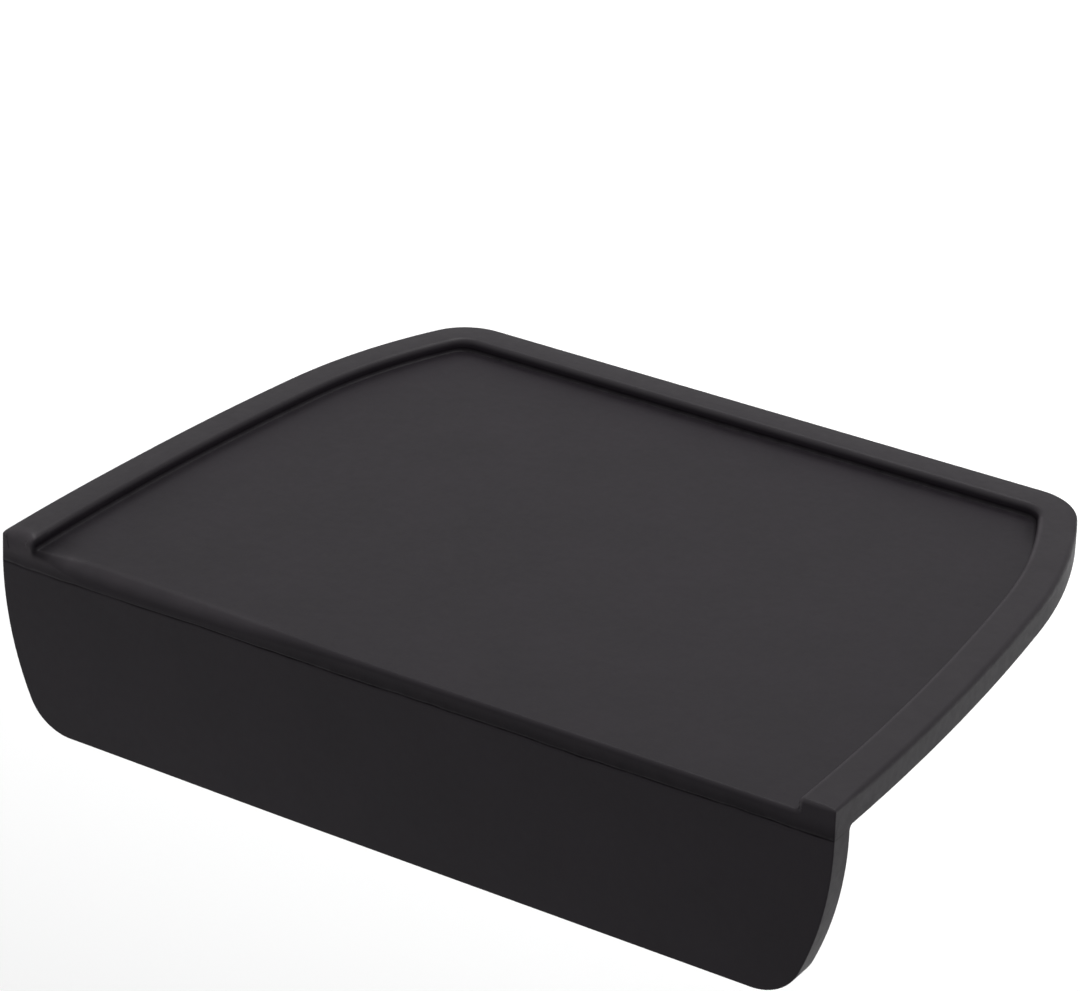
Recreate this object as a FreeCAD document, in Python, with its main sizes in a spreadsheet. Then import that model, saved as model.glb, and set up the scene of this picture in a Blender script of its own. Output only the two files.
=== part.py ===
# Corner tamping mat: one piece of moulded black silicone.
# A flat deck with a raised rim on three sides lies on a counter.  A lip hangs over the
# counter's front edge and stops the mat from sliding back.
# Frame: origin at the middle of the deck's underside, X along the counter's edge, Y to the
# back, Z up.  The underside is the plane Z = 0.  All sizes are in millimetres.
import FreeCAD, Part
import math
import os
import Sketcher

os.makedirs("parts", exist_ok=True)
doc = FreeCAD.newDocument("corner_tamping_mat")

# Driving sizes: alias, value, what it measures.
SIZES = [
    ("mat_width", 210.0, "width of the deck and the lip at the fold"),
    ("seat_depth", 143.5, "underside from the back of the lip to the back edge"),
    ("deck_thickness", 3.7, "underside to the tray floor"),
    ("rim_rise", 3.1, "tray floor to the top of the rim"),
    ("side_rim_width", 8.8, "rim along the two sides, seen from above"),
    ("back_rim_width", 9.6, "rim along the back, seen from above"),
    ("crown_radius", 60.0, "radius of the rim's gently rounded top"),
    ("side_radius", 690.0, "bow of the two long sides"),
    ("shoulder_start", 92.0, "length of the long side bow, up to where it turns in"),
    ("shoulder_radius", 135.0, "turn of the sides towards the back"),
    ("tray_corner_radius", 3.0, "inner corners of the tray at the back"),
    ("corner_fullness", 1.4, "how much rounder the outer corners are than an even rim"),
    ("floor_radius", 1.0, "hollow fillet where the tray floor meets the rim"),
    ("lip_thickness", 6.5, "front face to back face of the lip"),
    ("lip_drop", 41.1, "underside to the bottom of the lip"),
    ("lip_side_radius", 75.0, "bow of the lip's two sides"),
    ("lip_corner_radius", 12.0, "lower corners of the lip"),
    ("parting_drop", 0.8, "underside to the mould's parting line on the front"),
    ("parting_width", 0.3, "width of the fine groove that the parting line leaves"),
    ("parting_depth", 0.2, "depth of that groove"),
    ("fold_radius", 1.0, "hollow fillet where the lip meets the underside"),
    ("inner_edge_radius", 1.1, "rounding of the rim's inner top edge"),
    ("outer_edge_radius", 1.3, "rounding of the rim's outer top edge"),
    ("front_edge_radius", 0.8, "rounding all round the front face"),
    ("under_edge_radius", 0.5, "rounding of the edges that face the counter"),
    ("overcut", 1.0, "how far a cut runs past the material that it clears"),
]
sheet = doc.addObject("Spreadsheet::Sheet", "sizes")
for row, (alias, value, meaning) in enumerate(SIZES, start=1):
    sheet.set("A%d" % row, meaning)
    sheet.set("B%d" % row, str(value))
    sheet.setAlias("B%d" % row, alias)
doc.recompute()

# Places that several features share, as formulas over the sheet.
FRONT = "sizes.seat_depth / 2 + sizes.lip_thickness"
BACK = "sizes.seat_depth / 2"
RIM_TOP = "sizes.deck_thickness + sizes.rim_rise"
WIDER_RIM = "max(sizes.side_rim_width; sizes.back_rim_width)"
CROWN_REACH = WIDER_RIM + " + sizes.overcut"
BACK_CORNER = WIDER_RIM + " + sizes.tray_corner_radius + sizes.corner_fullness"

# A recomputed feature has to add to the solid or cut from it, as its maker says.
ADDS = 1
CUTS = -1
volumes = [0.0]

# Shares of an edge's length at which its place is tested, and how near counts as on it.
SAMPLE_SHARES = (0.1, 0.35, 0.6, 0.85)
NEAR = 0.001

body = doc.addObject("PartDesign::Body", "tamping_mat")
body.Label = "tamping_mat"
body.Placement = FreeCAD.Placement()


def measure(formula):
    """The number that a formula over the sheet gives."""
    return float(body.evalExpression(formula))


def new_sketch(name, role, offset=None):
    """An empty sketch on one of the body's origin planes, moved along its normal."""
    sketch = body.newObject("Sketcher::SketchObject", name)
    plane = [item for item in body.Origin.OriginFeatures if item.Role == role][0]
    sketch.AttachmentSupport = (plane, [""])
    sketch.MapMode = "FlatFace"
    if offset is not None:
        sketch.setExpression("AttachmentOffset.Base.z", offset)
    return sketch


def join(sketch, kind, *where):
    """Adds a geometric constraint to a sketch."""
    sketch.addConstraint(Sketcher.Constraint(kind, *where))


def bind(sketch, name, formula, kind, *where):
    """Adds a dimension to a sketch and ties it to the sheet."""
    index = sketch.addConstraint(Sketcher.Constraint(kind, *where, measure(formula)))
    sketch.renameConstraint(index, name)
    sketch.setExpression("Constraints." + name, formula)


def line(x_1, y_1, x_2, y_2):
    """A straight piece of a sketch between two points."""
    return Part.LineSegment(FreeCAD.Vector(x_1, y_1, 0), FreeCAD.Vector(x_2, y_2, 0))


def arc(x, y, radius, start, end):
    """Arc about a centre, counter-clockwise from one angle to the other, in radians."""
    circle = Part.Circle(FreeCAD.Vector(x, y, 0), FreeCAD.Vector(0, 0, 1), radius)
    return Part.ArcOfCircle(circle, start, end)


def draw_bowed_outline(sketch, half_width, back_y, turn, radii):
    """Draws the closed outline that both the deck and the tray have, and ties it down.

    It runs along the front, up the right side, along the back and down the left side.
    Each side is straight over the lip and the fold, then a shallow arc, then a shoulder
    arc, then a corner arc that ends tangent to the straight back.  The sizes are formulas.
    """
    wide, back, turn_y = measure(half_width), measure(back_y), measure(turn)
    side, shoulder, corner = [measure(radius) for radius in radii]
    near = -measure(FRONT)
    fold = measure("sizes.fold_radius - sizes.seat_depth / 2")
    angle_1 = math.asin(turn_y / side)
    side_x = wide - side
    shoulder_x = side_x + (side - shoulder) * math.cos(angle_1)
    shoulder_y = fold + (side - shoulder) * math.sin(angle_1)
    corner_y = back - corner
    reach = shoulder - corner
    corner_x = shoulder_x + math.sqrt(reach ** 2 - (corner_y - shoulder_y) ** 2)
    angle_2 = math.atan2(corner_y - shoulder_y, corner_x - shoulder_x)
    half_turn = math.pi
    square = math.pi / 2
    sketch.addGeometry([
        line(-wide, near, wide, near),
        line(wide, near, wide, fold),
        arc(side_x, fold, side, 0, angle_1),
        arc(shoulder_x, shoulder_y, shoulder, angle_1, angle_2),
        arc(corner_x, corner_y, corner, angle_2, square),
        line(corner_x, back, -corner_x, back),
        arc(-corner_x, corner_y, corner, square, half_turn - angle_2),
        arc(-shoulder_x, shoulder_y, shoulder, half_turn - angle_2, half_turn - angle_1),
        arc(-side_x, fold, side, half_turn - angle_1, half_turn),
        line(-wide, fold, -wide, near),
    ], False)
    join(sketch, "Coincident", 0, 2, 1, 1)
    join(sketch, "Coincident", 9, 2, 0, 1)
    for number in range(1, 9):
        join(sketch, "Tangent", number, 2, number + 1, 1)
    join(sketch, "Symmetric", 0, 1, 0, 2, -2)
    join(sketch, "Vertical", 1)
    join(sketch, "Vertical", 9)
    join(sketch, "Horizontal", 5)
    join(sketch, "Horizontal", 1, 2, 9, 1)
    join(sketch, "Horizontal", 2, 2, 8, 1)
    for right, left in ((2, 8), (3, 7), (4, 6)):
        join(sketch, "Equal", right, left)
    bind(sketch, "width", "2 * (%s)" % half_width, "DistanceX", 0, 1, 0, 2)
    bind(sketch, "front", FRONT, "DistanceY", 0, 1, -1, 1)
    bind(sketch, "back", back_y, "DistanceY", -1, 1, 5, 1)
    bind(sketch, "straight", "sizes.lip_thickness + sizes.fold_radius", "DistanceY", 1, 1, 1, 2)
    bind(sketch, "turn", turn, "DistanceY", 2, 1, 2, 2)
    for name, number, radius in zip(("side", "shoulder", "corner"), (2, 3, 4), radii):
        bind(sketch, name, radius, "Radius", number)


def draw_lip_outline(sketch):
    """Draws the lip seen from the front: a wide flap with bowed sides and round corners."""
    wide, drop = measure("sizes.mat_width / 2"), measure("sizes.lip_drop")
    side, corner = measure("sizes.lip_side_radius"), measure("sizes.lip_corner_radius")
    fold = measure("sizes.fold_radius")
    side_x = wide - side
    low = drop - corner
    corner_x = side_x + math.sqrt((side - corner) ** 2 - (low - fold) ** 2)
    tilt = math.atan2(low - fold, corner_x - side_x)
    half_turn = math.pi
    square = math.pi / 2
    sketch.addGeometry([
        line(-wide, 0, wide, 0),
        line(wide, 0, wide, -fold),
        arc(side_x, -fold, side, -tilt, 0),
        arc(corner_x, -low, corner, -square, -tilt),
        line(-corner_x, -drop, corner_x, -drop),
        arc(-corner_x, -low, corner, half_turn + tilt, half_turn + square),
        arc(-side_x, -fold, side, half_turn, half_turn + tilt),
        line(-wide, -fold, -wide, 0),
    ], False)
    join(sketch, "Coincident", 0, 2, 1, 1)
    join(sketch, "Coincident", 7, 2, 0, 1)
    join(sketch, "Tangent", 1, 2, 2, 2)
    join(sketch, "Tangent", 2, 1, 3, 2)
    join(sketch, "Tangent", 3, 1, 4, 2)
    join(sketch, "Tangent", 4, 1, 5, 2)
    join(sketch, "Tangent", 5, 1, 6, 2)
    join(sketch, "Tangent", 6, 1, 7, 1)
    join(sketch, "Symmetric", 0, 1, 0, 2, -2)
    join(sketch, "PointOnObject", 0, 2, -1)
    join(sketch, "Vertical", 1)
    join(sketch, "Vertical", 7)
    join(sketch, "Horizontal", 4)
    join(sketch, "Horizontal", 1, 2, 7, 1)
    join(sketch, "Equal", 2, 6)
    join(sketch, "Equal", 3, 5)
    bind(sketch, "width", "sizes.mat_width", "DistanceX", 0, 1, 0, 2)
    bind(sketch, "straight", "sizes.fold_radius", "DistanceY", 1, 2, 1, 1)
    bind(sketch, "drop", "sizes.lip_drop", "DistanceY", 4, 1, -1, 1)
    bind(sketch, "side", "sizes.lip_side_radius", "Radius", 2)
    bind(sketch, "corner", "sizes.lip_corner_radius", "Radius", 3)


def draw_crown_section(sketch):
    """Draws what the rim's rounded top leaves out, at the right end of the rim.

    The crown is an arc, level above the tray and falling towards the outside.
    """
    radius, top = measure("sizes.crown_radius"), measure(RIM_TOP)
    inner = measure("sizes.mat_width / 2 - (%s)" % CROWN_REACH)
    outer = measure("sizes.mat_width / 2 + sizes.overcut")
    above = top + measure("sizes.overcut")
    fall = math.asin((outer - inner) / radius)
    square = math.pi / 2
    low = top - radius + radius * math.cos(fall)
    sketch.addGeometry([
        arc(inner, top - radius, radius, square - fall, square),
        line(inner, top, inner, above),
        line(inner, above, outer, above),
        line(outer, above, outer, low),
    ], False)
    join(sketch, "Coincident", 0, 2, 1, 1)
    join(sketch, "Coincident", 1, 2, 2, 1)
    join(sketch, "Coincident", 2, 2, 3, 1)
    join(sketch, "Coincident", 3, 2, 0, 1)
    join(sketch, "Vertical", 0, 3, 0, 2)
    join(sketch, "Vertical", 1)
    join(sketch, "Horizontal", 2)
    join(sketch, "Vertical", 3)
    bind(sketch, "crown", "sizes.crown_radius", "Radius", 0)
    bind(sketch, "top", RIM_TOP, "DistanceY", -1, 1, 0, 2)
    bind(sketch, "above", "sizes.overcut", "DistanceY", 1, 1, 1, 2)
    bind(sketch, "inner", "sizes.mat_width / 2 - (%s)" % CROWN_REACH, "DistanceX", -1, 1, 0, 2)
    bind(sketch, "outer", "sizes.mat_width / 2 + sizes.overcut", "DistanceX", -1, 1, 2, 2)


def draw_parting_section(sketch):
    """Draws the fine notch that the parting line leaves, seen along the counter's edge."""
    face, bottom = -measure(FRONT), -measure("sizes.parting_drop")
    half, depth = measure("sizes.parting_width / 2"), measure("sizes.parting_depth")
    sketch.addGeometry([
        line(face, bottom - half, face + depth, bottom),
        line(face + depth, bottom, face, bottom + half),
        line(face, bottom + half, face, bottom - half),
    ], False)
    for number in range(3):
        join(sketch, "Coincident", number, 2, (number + 1) % 3, 1)
    join(sketch, "Vertical", 2)
    join(sketch, "Equal", 0, 1)
    bind(sketch, "face", FRONT, "DistanceX", 0, 1, -1, 1)
    bind(sketch, "depth", "sizes.parting_depth", "DistanceX", 0, 1, 0, 2)
    bind(sketch, "drop", "sizes.parting_drop", "DistanceY", 0, 2, -1, 1)
    bind(sketch, "opening", "sizes.parting_width", "DistanceY", 0, 1, 1, 2)


def finish_feature(feature, adds):
    """Recomputes, and stops if the feature failed or changed the volume the wrong way."""
    before = volumes[-1]
    doc.recompute()
    if [flag for flag in feature.State if flag in ("Invalid", "Error")]:
        raise RuntimeError("%s failed: %s" % (feature.Name, feature.State))
    if feature.Shape.isNull() or not feature.Shape.isValid():
        raise RuntimeError("%s has no valid shape" % feature.Name)
    change = feature.Shape.Volume - before
    if change * adds <= 0:
        raise RuntimeError("%s changed the volume by %.3f" % (feature.Name, change))
    volumes.append(feature.Shape.Volume)
    print("%s: %.1f mm3 (%+.1f)" % (feature.Name, volumes[-1], change))


def round_edges(name, radius, adds, test):
    """Fillets each edge of the body whose sample points all pass a test."""
    chosen = []
    for number, edge in enumerate(body.Tip.Shape.Edges, start=1):
        first, last = edge.ParameterRange
        spots = [edge.valueAt(first + (last - first) * share) for share in SAMPLE_SHARES]
        if all(test(spot) for spot in spots):
            chosen.append("Edge%d" % number)
    fillet_base = body.Tip
    fillet = body.newObject("PartDesign::Fillet", name)
    fillet.Base = (fillet_base, chosen)
    fillet.setExpression("Radius", "sizes." + radius)
    finish_feature(fillet, adds)


# The slab: the whole plan of the mat, as high as the rim.
plan = new_sketch("plan_outline", "XY_Plane")
draw_bowed_outline(
    plan,
    "sizes.mat_width / 2",
    BACK,
    "sizes.shoulder_start",
    ("sizes.side_radius", "sizes.shoulder_radius", BACK_CORNER),
)
slab = body.newObject("PartDesign::Pad", "slab")
slab.Profile = plan
slab.setExpression("Length", RIM_TOP)
finish_feature(slab, ADDS)

# The rim's top: a shallow crown, cut along the outline from one front end to the other.
crown_section = new_sketch("crown_section", "XZ_Plane", FRONT)
draw_crown_section(crown_section)
crown = body.newObject("PartDesign::SubtractivePipe", "crown")
crown.Profile = crown_section
crown.Spine = (plan, ["Edge%d" % number for number in range(2, 11)])
finish_feature(crown, CUTS)

# The tray: the floor inside the rim, open at the front.
tray_outline = new_sketch("tray_outline", "XY_Plane", "sizes.deck_thickness")
draw_bowed_outline(
    tray_outline,
    "sizes.mat_width / 2 - sizes.side_rim_width",
    "sizes.seat_depth / 2 - sizes.back_rim_width",
    "sizes.shoulder_start * (1 - sizes.side_rim_width / sizes.side_radius)",
    (
        "sizes.side_radius - sizes.side_rim_width",
        "sizes.shoulder_radius - sizes.side_rim_width",
        "sizes.tray_corner_radius",
    ),
)
tray = body.newObject("PartDesign::Pocket", "tray")
tray.Profile = tray_outline
tray.Reversed = True
tray.setExpression("Length", "sizes.rim_rise + sizes.overcut")
finish_feature(tray, CUTS)

# The lip: a flap as wide as the mat, hanging from the whole front edge.
lip_outline = new_sketch("lip_outline", "XZ_Plane", FRONT)
draw_lip_outline(lip_outline)
lip = body.newObject("PartDesign::Pad", "lip")
lip.Profile = lip_outline
lip.Reversed = True
lip.setExpression("Length", "sizes.lip_thickness")
finish_feature(lip, ADDS)

# Edges, in an order in which each run of edges is smooth when its turn comes.
front_y = -measure(FRONT)
lip_back_y = -measure("sizes.seat_depth / 2")
fold_radius = measure("sizes.fold_radius")
floor_z = measure("sizes.deck_thickness")
rim_top_z = measure(RIM_TOP)
crown_radius = measure("sizes.crown_radius")
crown_fall = crown_radius - math.sqrt(crown_radius ** 2 - measure(CROWN_REACH) ** 2)


def on_fold(spot):
    """True on the two lines where the hollow fillet meets the underside and the lip."""
    on_base = abs(spot.z) < NEAR and abs(spot.y - lip_back_y - fold_radius) < NEAR
    on_lip = abs(spot.z + fold_radius) < NEAR and abs(spot.y - lip_back_y) < NEAR
    return on_base or on_lip


def faces_counter(spot):
    """True round the underside and round the back of the lip."""
    return spot.z < NEAR and spot.y > lip_back_y - NEAR and not on_fold(spot)


def on_front(spot):
    """True all round the front face."""
    return abs(spot.y - front_y) < NEAR


def on_fold_line(spot):
    """True on the inner corner between the underside and the lip."""
    return abs(spot.z) < NEAR and abs(spot.y - lip_back_y) < NEAR


def on_rim_outside(spot):
    """True on the low outer edge of the crown."""
    return abs(spot.z - rim_top_z + crown_fall) < NEAR and not on_front(spot)


def on_rim_inside(spot):
    """True on the high inner edge of the crown, above the tray."""
    return spot.z > rim_top_z - crown_fall / 2 and not on_front(spot)


def on_floor_edge(spot):
    """True where the tray's floor meets the rim."""
    return abs(spot.z - floor_z) < NEAR and not on_front(spot)


round_edges("fold_fillet", "fold_radius", ADDS, on_fold_line)
round_edges("under_edge_fillet", "under_edge_radius", CUTS, faces_counter)
round_edges("outer_edge_fillet", "outer_edge_radius", CUTS, on_rim_outside)
round_edges("floor_fillet", "floor_radius", ADDS, on_floor_edge)
round_edges("inner_edge_fillet", "inner_edge_radius", CUTS, on_rim_inside)
round_edges("front_edge_fillet", "front_edge_radius", CUTS, on_front)

# The mould parts across the front, just below the deck, and leaves a fine line there.
parting_section = new_sketch("parting_section", "YZ_Plane")
draw_parting_section(parting_section)
parting_line = body.newObject("PartDesign::Pocket", "parting_line")
parting_line.Profile = parting_section
parting_line.Midplane = True
parting_line.setExpression("Length", "sizes.mat_width")
finish_feature(parting_line, CUTS)

# Last checks on the whole document, then the finished piece.
for item in doc.Objects:
    if [flag for flag in item.State if flag in ("Invalid", "Error")]:
        raise RuntimeError("%s failed: %s" % (item.Name, item.State))
shape = body.Shape
if shape.isNull() or not shape.isValid() or len(shape.Solids) != 1:
    raise RuntimeError("the mat is not one valid solid")
shape.exportStep("parts/%s.step" % body.Label)
extent = shape.optimalBoundingBox(False)
print("%s: %.2f x %.2f x %.2f mm" % (body.Label, extent.XLength, extent.YLength, extent.ZLength))
print("volume %.1f cm3, %d faces" % (shape.Volume / 1000, len(shape.Faces)))
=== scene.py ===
# %% [markdown]
# # A corner tamping mat in soft black silicone
# The mat is one moulding.  A flat deck lies on a counter, a low rim runs round three of its
# sides, and a lip hangs over the counter's front edge.  This lesson builds its visible skin
# from curves and grids, gives it a matt silicone finish and lights it like a product picture.
# The construction model is loaded first, because it fixes the size and the place of it all.

# %% Load the frame
import math

import bpy
import bmesh
import numpy as np
from mathutils import Matrix, Vector


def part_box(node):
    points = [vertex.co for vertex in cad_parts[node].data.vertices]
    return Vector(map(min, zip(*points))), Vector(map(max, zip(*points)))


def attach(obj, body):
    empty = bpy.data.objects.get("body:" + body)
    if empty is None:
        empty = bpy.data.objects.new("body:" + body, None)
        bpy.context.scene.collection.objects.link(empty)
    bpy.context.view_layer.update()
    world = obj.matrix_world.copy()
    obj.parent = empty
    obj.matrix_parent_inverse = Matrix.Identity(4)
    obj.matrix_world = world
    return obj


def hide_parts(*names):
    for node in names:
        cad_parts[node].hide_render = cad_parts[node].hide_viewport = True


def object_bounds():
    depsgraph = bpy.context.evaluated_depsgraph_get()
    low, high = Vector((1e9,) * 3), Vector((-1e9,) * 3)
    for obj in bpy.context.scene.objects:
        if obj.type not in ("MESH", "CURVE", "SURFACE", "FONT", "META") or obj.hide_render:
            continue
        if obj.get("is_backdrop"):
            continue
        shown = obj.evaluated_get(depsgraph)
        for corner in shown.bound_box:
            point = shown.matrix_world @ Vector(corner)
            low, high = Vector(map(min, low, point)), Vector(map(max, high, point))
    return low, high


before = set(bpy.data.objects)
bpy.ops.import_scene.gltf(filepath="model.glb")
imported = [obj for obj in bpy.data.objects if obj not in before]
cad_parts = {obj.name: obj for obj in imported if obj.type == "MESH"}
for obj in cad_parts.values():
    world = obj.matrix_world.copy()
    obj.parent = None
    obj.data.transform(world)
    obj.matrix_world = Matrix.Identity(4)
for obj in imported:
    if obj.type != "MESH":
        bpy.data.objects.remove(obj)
cad_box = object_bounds()
low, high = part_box("tamping_mat")
print("frame:", sorted(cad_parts), "size", [round(value, 4) for value in high - low])

# %% [markdown]
# ## The sizes
# The outside of the mat is read from the frame, so the skin always fits it.  Walls, radii and
# steps are the maker's own numbers, in metres.  They are written once, with names, because a
# later change should touch one line only.

# %% Sizes of the mat
half_width = high.x
front_y = low.y
back_y = high.y
lip_bottom = low.z
deck_z = 0.0037
rim_top = 0.00679
side_rim = 0.0088
back_rim = 0.0096
lip_thickness = 0.0065
fold_radius = 0.0010
lip_start = -0.0016
side_radius = 0.710
shoulder_radius = 0.135
outer_corner = 0.014
tray_corner = 0.0055
shoulder_start = 0.092
crown_radius = 0.060
crown_reach = 0.0106
floor_radius = 0.0008
under_radius = 0.0003
lip_side_radius = 0.080
lip_corner_radius = 0.012
lip_back_y = front_y + lip_thickness
fold_y = lip_back_y + fold_radius
print("deck", round(2 * half_width, 4), "x", round(back_y - front_y, 4), "lip", round(-lip_bottom, 4))

# %% [markdown]
# ## How soft each edge is
# A mould's edges are never quite sharp.  On this mat the deck's front edge is crisp along the
# right half and gets softer towards the left, where the rim's end almost melts into the front
# face.  The lip's own edges are crisp all round.  One smooth step mixes each crisp radius with
# its soft one, so no edge changes its radius at a point that the eye could find.

# %% Edge radii
crisp_lip = 0.0003
crisp_outer = 0.0010
crisp_inner, soft_inner = 0.0015, 0.0022
crisp_front, soft_front = 0.0012, 0.0040
crisp_rim_end, soft_rim_end = 0.0006, 0.0032
soft_length = 0.014
left_fade = 0.075
tighter_length = 0.015


def smooth_step(value):
    """Rises from 0 to 1 with level ends: 3t squared minus 2t cubed, for t cut to 0 to 1."""
    t = np.clip(value, 0.0, 1.0)
    return t * t * (3 - 2 * t)


def leftness(x):
    """A smooth step of minus x over the fade: 0 on the right half, 1 near the left end."""
    return smooth_step(-x / left_fade)


def deck_edge_radius(x):
    """Radius of the deck's front edge: the crisp one, mixed with the soft one by leftness.

    It tightens again over the last centimetre and a half before the left rim.
    """
    near_rim = smooth_step((x + half_width - side_rim) / tighter_length)
    return crisp_front + (soft_front - crisp_front) * leftness(x) * near_rim


print("front edge radius, right to left:", deck_edge_radius(np.array([half_width, 0, -left_fade])))

# %% [markdown]
# ## The plan
# Seen from above, each side starts straight over the lip, bows gently, turns in at the
# shoulder and rounds a corner to the straight back.  The same chain of tangent arcs draws the
# outer wall and the wall of the tray.  Arcs are better than a spline here: the mould was cut
# with them, and each keeps its radius wherever it is sampled.

# %% Plan outlines
side_steps, shoulder_steps, corner_steps, back_steps, straight_steps = 26, 22, 16, 22, 8


def arc(centre, radius, angles):
    """The centre plus the radius times cosine and sine of each angle, with the outward normals."""
    normals = np.stack([np.cos(angles), np.sin(angles)], axis=1)
    return centre + radius * normals, normals


def bowed_half(half, back, side, shoulder, corner, turn):
    """Right half of an outline, from the fold to the middle of the back.

    Each next centre lies on the line from the last centre through the point where two arcs
    meet, nearer by the difference of their radii, so the arcs are tangent.
    """
    angle_1 = math.asin(turn / side)
    centre_1 = np.array([half - side, fold_y])
    centre_2 = centre_1 + (side - shoulder) * np.array([math.cos(angle_1), math.sin(angle_1)])
    rise = back - corner - centre_2[1]
    angle_2 = math.asin(rise / (shoulder - corner))
    centre_3 = centre_2 + (shoulder - corner) * np.array([math.cos(angle_2), math.sin(angle_2)])
    side_points, side_normals = arc(centre_1, side, np.linspace(0, angle_1, side_steps + 1))
    turn_angles = np.linspace(angle_1, angle_2, shoulder_steps + 1)
    turn_points, turn_normals = arc(centre_2, shoulder, turn_angles)
    bend_angles = np.linspace(angle_2, math.pi / 2, corner_steps + 1)
    bend_points, bend_normals = arc(centre_3, corner, bend_angles)
    x = np.linspace(centre_3[0], 0, back_steps + 1)
    back_points = np.stack([x, np.full_like(x, back)], axis=1)
    back_normals = np.tile([0.0, 1.0], (back_steps + 1, 1))
    points = np.concatenate([side_points, turn_points[1:], bend_points[1:], back_points[1:]])
    normals = np.concatenate([side_normals, turn_normals[1:], bend_normals[1:], back_normals[1:]])
    return points, normals


def round_the_back(points, normals):
    """Mirrors a right half, and adds the straight ends over the lip at both sides."""
    y = np.linspace(front_y, fold_y, straight_steps + 1)[:-1]
    start = np.stack([np.full_like(y, points[0, 0]), y], axis=1)
    facing = np.tile([1.0, 0.0], (straight_steps, 1))
    points, normals = np.concatenate([start, points]), np.concatenate([facing, normals])
    flip = np.array([-1.0, 1.0])
    mirrored_points, mirrored_normals = (points * flip)[-2::-1], (normals * flip)[-2::-1]
    return np.concatenate([points, mirrored_points]), np.concatenate([normals, mirrored_normals])


print("points on half an outline:", side_steps + shoulder_steps + corner_steps + back_steps + 1)

# %% Outer wall and tray wall
outer, outward = round_the_back(*bowed_half(
    half_width, back_y, side_radius, shoulder_radius, outer_corner, shoulder_start))
tray, _ = round_the_back(*bowed_half(
    half_width - side_rim, back_y - back_rim, side_radius - side_rim, shoulder_radius - side_rim,
    tray_corner, shoulder_start * (1 - side_rim / side_radius)))
inward = tray - outer
rim_width = np.linalg.norm(inward, axis=1)
inward = inward / rim_width[:, None]
stations = len(outer)
print("stations round the rim:", stations,
      "rim width", rim_width.min().round(5), "to", rim_width.max().round(5))

# %% [markdown]
# ## The rim's section
# The rim's top is a shallow crown that falls outwards, rounded into both walls, with a small
# hollow where its inner wall meets the deck.  The section is worked out for every station at
# once: rows are stations, columns are points of the section, from the outer wall to the deck.

# %% Rim section
edge_steps, crown_steps, wall_steps = 8, 8, 2


def rim_section(width, outer_edge, inner_edge, reach):
    """Distance from the outer wall, height, and the outward normal, for all stations.

    The crown is a circle whose top lies the reach in from the wall.  Each edge is a smaller
    circle inside the crown's and tangent to it and to its wall, so its centre lies at the
    difference of the two radii from the crown's centre.
    """
    width, reach = width[:, None], reach[:, None]
    r_out, r_in = outer_edge[:, None], inner_edge[:, None]
    crown_z = rim_top - crown_radius
    share = np.linspace(0, 1, edge_steps + 1)[None]
    out_z = crown_z + np.sqrt((crown_radius - r_out) ** 2 - (reach - r_out) ** 2)
    out_tilt = np.arctan2(out_z - crown_z, r_out - reach)
    gap = np.maximum(reach - (width - r_in), 0)
    in_z = crown_z + np.sqrt((crown_radius - r_in) ** 2 - gap ** 2)
    in_tilt = np.arctan2(in_z - crown_z, -gap)

    angle = math.pi + (out_tilt - math.pi) * share
    parts = [(r_out + r_out * np.cos(angle), out_z + r_out * np.sin(angle),
              np.cos(angle), np.sin(angle))]

    start = r_out + r_out * np.cos(out_tilt)
    end = width - r_in + r_in * np.cos(in_tilt)
    across = start + (end - start) * np.linspace(0, 1, crown_steps + 1)[None, 1:-1]
    before_top = np.maximum(reach - across, 0)
    height = np.sqrt(crown_radius ** 2 - before_top ** 2)
    parts.append((across, crown_z + height, -before_top / crown_radius, height / crown_radius))

    angle = in_tilt * (1 - share)
    parts.append((width - r_in + r_in * np.cos(angle), in_z + r_in * np.sin(angle),
                  np.cos(angle), np.sin(angle)))

    foot = deck_z + floor_radius
    down = in_z + (foot - in_z) * np.linspace(0, 1, wall_steps + 1)[None, 1:-1]
    parts.append((width + 0 * down, down, 1 + 0 * down, 0 * down))

    angle = math.pi * (1 + share / 2) + 0 * width
    centre = width + floor_radius
    parts.append((centre + floor_radius * np.cos(angle), foot + floor_radius * np.sin(angle),
                  -np.cos(angle), -np.sin(angle)))
    return [np.concatenate(column, axis=1) for column in zip(*parts)]


print("section steps: rounding", edge_steps, "crown", crown_steps, "wall", wall_steps)

# %% [markdown]
# ## The rim all round
# On a soft moulding the rim isn't quite the same all round.  On the right side, and a little at
# the left front end, the crown's top lies nearer to the outer wall, so the rim looks flatter
# there.  Its outer edge is also softer behind than in front on the right.  Each of these becomes
# one number per station, which fades in and out along the rim.

# %% Rim grid
right_side_end, right_side_fade = 0.058, 0.010
flatter_right, flatter_left = 0.0056, 0.0021
flat_left_length = 0.05
softer_behind, tighter_right, softer_length = 0.0008, 0.0003, 0.015

behind = outer[:, 1] - front_y
near_left_end = np.arange(stations) > stations // 2
left_soft = near_left_end * smooth_step(1 - behind / soft_length)
on_right = (outer[:, 0] > 0) * smooth_step((right_side_end - outer[:, 1]) / right_side_fade)
at_left_end = (outer[:, 0] < 0) * smooth_step(1 - behind / flat_left_length)
outer_edge = crisp_outer + on_right * (
    softer_behind * smooth_step(behind / softer_length) - tighter_right)
across, height, tilt_x, tilt_z = rim_section(
    rim_width,
    outer_edge,
    crisp_inner + (soft_inner - crisp_inner) * left_soft,
    crown_reach - flatter_right * on_right - flatter_left * at_left_end)
columns = across.shape[1]
rim_plan = outer[:, None] + inward[:, None] * across[..., None]
rim = np.concatenate([rim_plan, height[..., None]], axis=2)
print("rim grid:", rim.shape, "highest point", rim[..., 2].max().round(5))

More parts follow.
